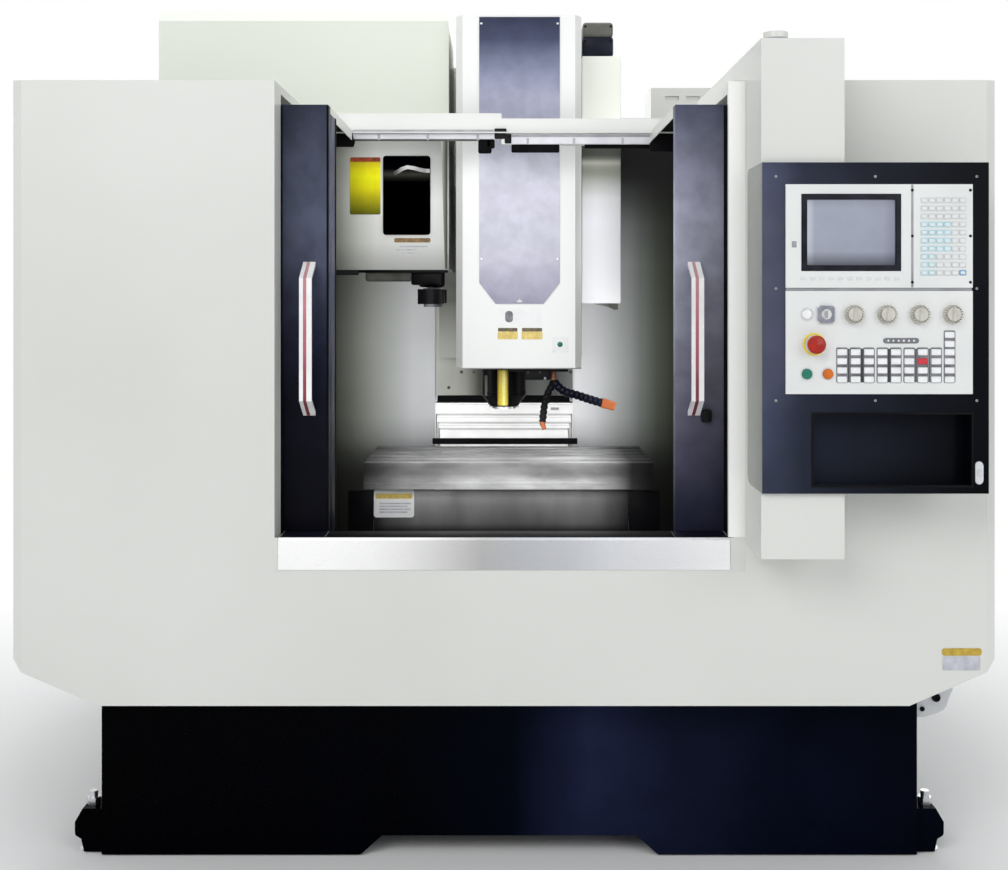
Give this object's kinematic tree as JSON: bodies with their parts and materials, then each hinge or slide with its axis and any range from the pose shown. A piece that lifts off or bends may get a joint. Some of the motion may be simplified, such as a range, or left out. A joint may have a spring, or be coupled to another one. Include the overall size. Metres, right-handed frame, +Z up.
{
  "type": "cnc machining center",
  "caption": "Vertical machining centre with sliding doors, T-slot table, spindle head, tool magazine and control pod.",
  "frame": {"origin": "middle of the machine's footprint at floor level", "axes": "+X to the operator's right, +Y from the operator into the machine, +Z up"},
  "size_m": [2.656, 2.6564, 2.57],
  "materials": {
    "bed_paint": "gloss",
    "white_paint": "satin",
    "guard_paint": "satin",
    "casting_paint": "satin",
    "navy_paint": "gloss",
    "stainless": "brushed",
    "ground_steel": "ground",
    "table_iron": "ground",
    "saddle_iron": "painted",
    "black_steel": "satin",
    "pan_steel": "dull",
    "zinc_steel": "plated",
    "pane": "clear",
    "handle_finish": "satin",
    "unit_plastic": "fine grain",
    "black_plastic": "matt",
    "disc_aluminium": "machined",
    "red_plastic": "gloss",
    "green_plastic": "gloss",
    "orange_plastic": "gloss",
    "knob_plastic": "matt"
  },
  "bodies": {
    "frame": {"base_casting": "bed_paint", "levelling_bolts": "zinc_steel", "chip_pan": "pan_steel", "front_panel_left": "white_paint", "front_panel_right": "white_paint", "door_sill": "stainless", "side_wall_left": "white_paint", "side_wall_right": "white_paint", "roof_panels": "white_paint", "header_rails": "white_paint", "column_casting": "casting_paint", "rear_guards": "guard_paint", "guide_rails": "ground_steel", "column_cover": "guard_paint", "rear_cover_fixed": "stainless", "front_way_cover": "stainless", "magazine_cover": "white_paint", "magazine_frame": "casting_paint", "pod_housing": "white_paint", "pod_console": "navy_paint", "display_unit": "unit_plastic", "operator_unit": "unit_plastic", "electrical_cabinet": "white_paint"},
    "saddle": {"saddle": "saddle_iron", "saddle_rails": "ground_steel", "saddle_apron": "stainless", "rear_cover_inner": "stainless"},
    "table": {"table": "table_iron"},
    "rear_cover_outer": {"rear_cover_outer": "stainless"},
    "rear_cover_middle": {"rear_cover_middle": "stainless"},
    "head": {"head_casting": "casting_paint", "head_cover": "white_paint", "head_panel": "navy_paint", "spindle_motor": "black_steel", "spindle_housing": "black_steel", "coolant_hoses": "black_plastic", "cable_duct": "white_paint", "head_apron": "guard_paint"},
    "spindle": {"spindle": "ground_steel"},
    "screw_x": {"screw_x": "ground_steel"},
    "screw_y": {"screw_y": "ground_steel"},
    "screw_z": {"screw_z": "ground_steel"},
    "door_left": {"door_left": "navy_paint", "door_window_left": "pane", "door_handle_left": "handle_finish"},
    "door_right": {"door_right": "navy_paint", "door_window_right": "pane", "door_handle_right": "handle_finish"},
    "magazine_disc": {"magazine_disc": "disc_aluminium"},
    "changer_shaft": {"changer_shaft": "ground_steel"},
    "changer_arm": {"changer_arm": "black_steel"},
    "cabinet_door": {"cabinet_door": "white_paint"},
    "estop_button": {"estop_button": "red_plastic"},
    "start_button": {"start_button": "green_plastic"},
    "stop_button": {"stop_button": "orange_plastic"},
    "key_rotor": {"key_rotor": "ground_steel"},
    "knob_1": {"knob_1": "knob_plastic"},
    "knob_2": {"knob_2": "knob_plastic"},
    "knob_3": {"knob_3": "knob_plastic"},
    "knob_4": {"knob_4": "knob_plastic"}
  },
  "joints": [
    {"name": "saddle_slide", "type": "slide", "parent": "frame", "child": "saddle", "axis": [0, 1, 0], "range_m": [-0.402, 0.098]},
    {"name": "table_slide", "type": "slide", "parent": "saddle", "child": "table", "axis": [1, 0, 0], "range_m": [-0.4, 0.4]},
    {"name": "outer_cover_slide", "type": "slide", "parent": "frame", "child": "rear_cover_outer", "axis": [0, 1, 0], "range_m": [-0.135, 0.033]},
    {"name": "middle_cover_slide", "type": "slide", "parent": "frame", "child": "rear_cover_middle", "axis": [0, 1, 0], "range_m": [-0.269, 0.066]},
    {"name": "head_slide", "type": "slide", "parent": "frame", "child": "head", "axis": [0, 0, 1], "range_m": [-0.06, 0.4]},
    {"name": "spindle_turn", "type": "hinge", "parent": "head", "child": "spindle", "pos_m": [0, -0.00115, 1.4], "axis": [0, 0, 1], "continuous": true},
    {"name": "screw_x_turn", "type": "hinge", "parent": "saddle", "child": "screw_x", "pos_m": [0, 0.15285, 0.768], "axis": [1, 0, 0], "continuous": true},
    {"name": "screw_y_turn", "type": "hinge", "parent": "frame", "child": "screw_y", "pos_m": [0, -0.06615, 0.528], "axis": [0, 1, 0], "continuous": true},
    {"name": "screw_z_turn", "type": "hinge", "parent": "frame", "child": "screw_z", "pos_m": [0, 0.60585, 1.9], "axis": [0, 0, 1], "continuous": true},
    {"name": "door_left_slide", "type": "slide", "parent": "frame", "child": "door_left", "axis": [1, 0, 0], "range_m": [0, 0.485]},
    {"name": "door_right_slide", "type": "slide", "parent": "frame", "child": "door_right", "axis": [-1, 0, 0], "range_m": [0, 0.472]},
    {"name": "disc_turn", "type": "hinge", "parent": "frame", "child": "magazine_disc", "pos_m": [-0.7, 0.23385, 2.13], "axis": [0, 1, 0], "continuous": true},
    {"name": "changer_stroke", "type": "slide", "parent": "frame", "child": "changer_shaft", "axis": [0, 0, 1], "range_m": [-0.115, 0]},
    {"name": "changer_swing", "type": "hinge", "parent": "changer_shaft", "child": "changer_arm", "pos_m": [-0.25, -0.00115, 1.575], "axis": [0, 0, 1], "range_deg": [-6, 6]},
    {"name": "cabinet_door_hinge", "type": "hinge", "parent": "frame", "child": "cabinet_door", "pos_m": [0.014, 1.29585, 1.45], "axis": [0, 0, 1], "range_deg": [0, 120]},
    {"name": "estop_press", "type": "slide", "parent": "frame", "child": "estop_button", "axis": [0, 1, 0], "range_m": [0, 0.006], "stiffness_N_per_m": 1500},
    {"name": "start_press", "type": "slide", "parent": "frame", "child": "start_button", "axis": [0, 1, 0], "range_m": [0, 0.004], "stiffness_N_per_m": 800},
    {"name": "stop_press", "type": "slide", "parent": "frame", "child": "stop_button", "axis": [0, 1, 0], "range_m": [0, 0.004], "stiffness_N_per_m": 800},
    {"name": "key_turn", "type": "hinge", "parent": "frame", "child": "key_rotor", "pos_m": [0.814, -1.29615, 1.531], "axis": [0, 1, 0], "range_deg": [0, 90]},
    {"name": "knob_1_turn", "type": "hinge", "parent": "frame", "child": "knob_1", "pos_m": [0.884, -1.29615, 1.531], "axis": [0, 1, 0], "range_deg": [-135, 135]},
    {"name": "knob_2_turn", "type": "hinge", "parent": "frame", "child": "knob_2", "pos_m": [0.967, -1.29615, 1.531], "axis": [0, 1, 0], "range_deg": [-135, 135]},
    {"name": "knob_3_turn", "type": "hinge", "parent": "frame", "child": "knob_3", "pos_m": [1.05, -1.29615, 1.531], "axis": [0, 1, 0], "range_deg": [-135, 135]},
    {"name": "knob_4_turn", "type": "hinge", "parent": "frame", "child": "knob_4", "pos_m": [1.133, -1.29615, 1.531], "axis": [0, 1, 0], "range_deg": [-135, 135]}
  ],
  "couplings": [
    {"joint": "outer_cover_slide", "follows": "saddle_slide", "ratio": 0.33333},
    {"joint": "middle_cover_slide", "follows": "saddle_slide", "ratio": 0.66667},
    {"joint": "screw_y_turn", "follows": "saddle_slide", "rad_per_m": -392.7},
    {"joint": "screw_x_turn", "follows": "table_slide", "rad_per_m": -392.7},
    {"joint": "screw_z_turn", "follows": "head_slide", "rad_per_m": -392.7}
  ]
}
